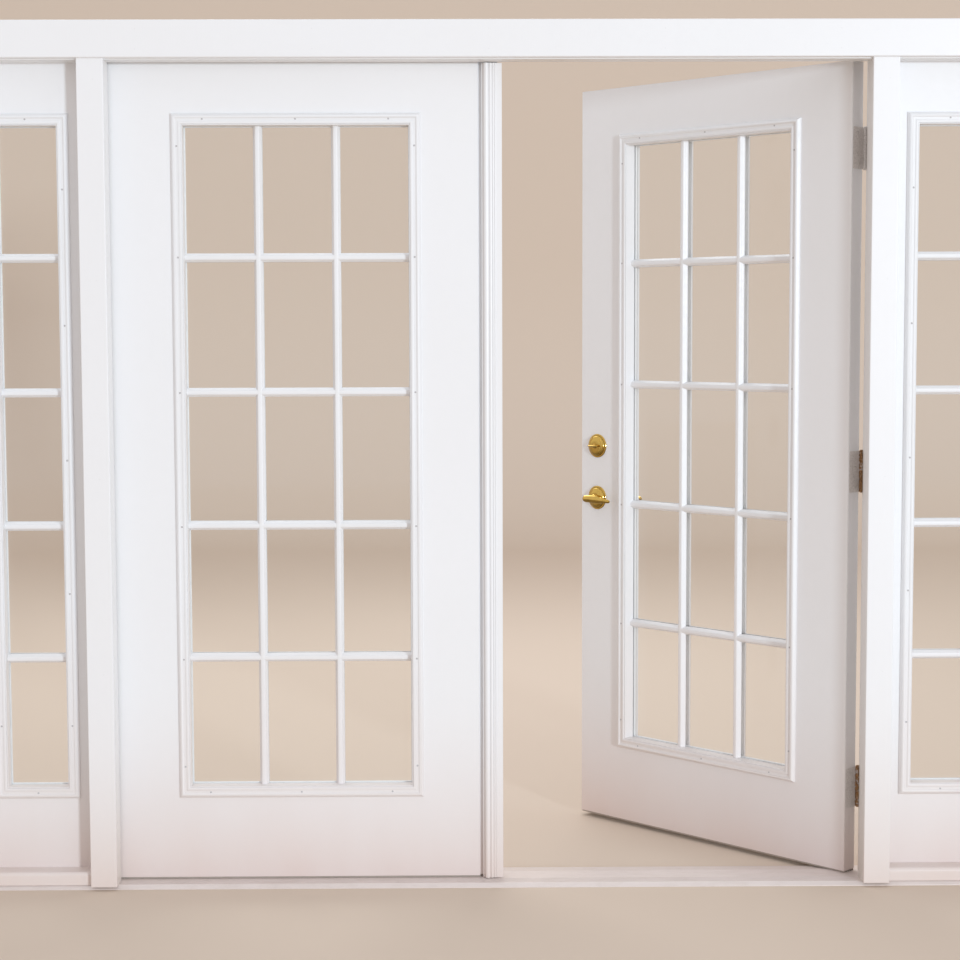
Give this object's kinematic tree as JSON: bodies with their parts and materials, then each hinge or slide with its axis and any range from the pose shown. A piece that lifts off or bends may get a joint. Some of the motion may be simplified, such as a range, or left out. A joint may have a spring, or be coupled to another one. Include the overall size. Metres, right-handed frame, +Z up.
{
  "type": "french doors",
  "caption": "Outswing glazed double doors between fixed sidelights in one frame, with glazing bars, a reeded astragal, a lever lock and a deadbolt.",
  "frame": {"origin": "underside of the sill, midway between the outer jambs, on the plane of the closed leaves' inside face", "axes": "+Z up, +Y from the room to the outside, +X to the right seen from the room"},
  "size_m": [2.7, 0.7801, 2.108],
  "materials": {
    "painted_frame": "white semi-gloss paint",
    "painted_trim": "white semi-gloss paint",
    "painted_slab": "white satin paint",
    "lite_moulding": "moulded, white",
    "clear_glass": "clear",
    "seal": "matt",
    "sweep_vinyl": "matt",
    "sill_metal": "mill finish",
    "hinge_steel": "dull, rust spots",
    "bolt_steel": "satin",
    "lock_brass": "polished, worn"
  },
  "bodies": {
    "frame": {"head_jamb": "painted_frame", "sill": "sill_metal", "head_casing": "painted_trim", "head_brickmould": "painted_trim", "head_weatherstrip": "seal", "flush_bolt_strikes": "bolt_steel", "left_jamb": "painted_frame", "left_mullion": "painted_frame", "left_casing": "painted_trim", "left_mullion_cover": "painted_trim", "left_brickmould": "painted_trim", "left_weatherstrip": "seal", "left_jamb_hinges": "hinge_steel", "left_sidelight_panel": "painted_slab", "left_sidelight_inside_frame": "lite_moulding", "left_sidelight_outside_frame": "lite_moulding", "left_sidelight_glass": "clear_glass", "left_sidelight_base": "painted_trim", "right_jamb": "painted_frame", "right_mullion": "painted_frame", "right_casing": "painted_trim", "right_mullion_cover": "painted_trim", "right_brickmould": "painted_trim", "right_weatherstrip": "seal", "right_jamb_hinges": "hinge_steel", "right_sidelight_panel": "painted_slab", "right_sidelight_inside_frame": "lite_moulding", "right_sidelight_outside_frame": "lite_moulding", "right_sidelight_glass": "clear_glass", "right_sidelight_base": "painted_trim"},
    "left_leaf": {"left_slab": "painted_slab", "left_inside_frame": "lite_moulding", "left_outside_frame": "lite_moulding", "left_glass": "clear_glass", "left_sweep": "sweep_vinyl", "left_door_hinges": "hinge_steel", "astragal": "painted_trim", "astragal_seal": "seal", "lock_strikes": "bolt_steel"},
    "top_flush_bolt": {"top_flush_bolt": "bolt_steel"},
    "bottom_flush_bolt": {"bottom_flush_bolt": "bolt_steel"},
    "right_leaf": {"right_slab": "painted_slab", "right_inside_frame": "lite_moulding", "right_outside_frame": "lite_moulding", "right_glass": "clear_glass", "right_sweep": "sweep_vinyl", "right_door_hinges": "hinge_steel", "inside_roses": "lock_brass", "outside_rose": "lock_brass", "lock_faceplates": "bolt_steel", "deadbolt_cylinder": "lock_brass"},
    "levers": {"levers": "lock_brass"},
    "latch": {"latch_bolt": "bolt_steel"},
    "thumbturn": {"thumbturn": "lock_brass"},
    "deadbolt": {"deadbolt_bolt": "bolt_steel"}
  },
  "joints": [
    {"name": "right_leaf_hinge", "type": "hinge", "parent": "frame", "child": "right_leaf", "pos_m": [0.9255, 0.0525, 1], "axis": [0, 0, -1], "range_deg": [-46.5, 58.5]},
    {"name": "left_leaf_hinge", "type": "hinge", "parent": "frame", "child": "left_leaf", "pos_m": [-0.9255, 0.0525, 1], "axis": [0, 0, 1], "range_deg": [0, 105]},
    {"name": "lever_turn", "type": "hinge", "parent": "right_leaf", "child": "levers", "pos_m": [0.30886, 0.62604, 0.905], "axis": [0.7254, 0.6884, 0], "range_deg": [0, 45], "stiffness_Nm_per_rad": 1, "springref_deg": -28.65},
    {"name": "latch_slide", "type": "slide", "parent": "right_leaf", "child": "latch", "axis": [-0.6884, 0.7254, 0], "range_m": [-0.0122, 0]},
    {"name": "thumbturn_turn", "type": "hinge", "parent": "right_leaf", "child": "thumbturn", "pos_m": [0.30886, 0.62604, 1.049], "axis": [0.7254, 0.6884, 0], "range_deg": [0, 90]},
    {"name": "deadbolt_slide", "type": "slide", "parent": "right_leaf", "child": "deadbolt", "axis": [-0.6884, 0.7254, 0], "range_m": [0, 0.0252]},
    {"name": "top_flush_bolt_slide", "type": "slide", "parent": "left_leaf", "child": "top_flush_bolt", "axis": [0, 0, 1], "range_m": [0, 0.016]},
    {"name": "bottom_flush_bolt_slide", "type": "slide", "parent": "left_leaf", "child": "bottom_flush_bolt", "axis": [0, 0, -1], "range_m": [0, 0.011]}
  ],
  "couplings": [
    {"joint": "latch_slide", "follows": "lever_turn", "m_per_rad": -0.0152},
    {"joint": "thumbturn_turn", "follows": "deadbolt_slide", "rad_per_m": 62.3}
  ]
}
